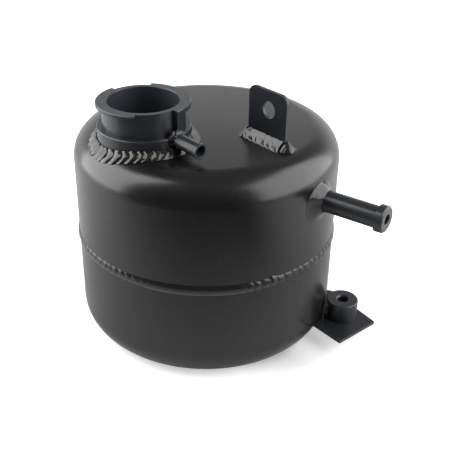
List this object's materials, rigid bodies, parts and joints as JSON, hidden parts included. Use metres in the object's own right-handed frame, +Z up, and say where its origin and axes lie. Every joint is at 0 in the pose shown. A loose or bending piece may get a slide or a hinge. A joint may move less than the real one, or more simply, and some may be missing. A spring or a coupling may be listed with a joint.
{
  "type": "coolant expansion tank",
  "caption": "Round welded coolant expansion tank with an offset bayonet filler neck, overflow nipple, hose spigots, an upright top tab and a bored side foot.",
  "frame": {"origin": "on the tank's axis, in the plane of its flat bottom", "axes": "+Z up along the tank's axis and out of the filler neck; -Y is the side that faces the picture's camera; +X is the side that the foot and the side spigot lie towards"},
  "size_m": [0.1892, 0.1986, 0.1633],
  "materials": {
    "coated_pressing": "drawn aluminium sheet under a smooth satin black coat",
    "coated_turned": "turned aluminium under a thin satin black coat, with fine tool lines",
    "coated_sheet": "cut aluminium sheet under a smooth satin black coat",
    "coated_weld_bead": "rippled aluminium weld bead under a glossy black coat"
  },
  "bodies": {
    "root": {"upper_shell": "coated_pressing", "lower_shell": "coated_pressing", "girth_weld": "coated_weld_bead", "filler_neck": "coated_turned", "filler_neck_weld": "coated_weld_bead", "overflow_nipple": "coated_turned", "overflow_nipple_weld": "coated_weld_bead", "top_bracket": "coated_sheet", "top_bracket_front_weld": "coated_weld_bead", "top_bracket_rear_weld": "coated_weld_bead", "bleed_spigot": "coated_turned", "bleed_spigot_weld": "coated_weld_bead", "outlet_spigot": "coated_turned", "outlet_spigot_weld": "coated_weld_bead", "foot_plate": "coated_sheet", "foot_plate_weld": "coated_weld_bead", "foot_boss": "coated_turned", "foot_boss_weld": "coated_weld_bead", "foot_boss_front_weld": "coated_weld_bead", "foot_boss_rear_weld": "coated_weld_bead"}
  },
  "joints": []
}
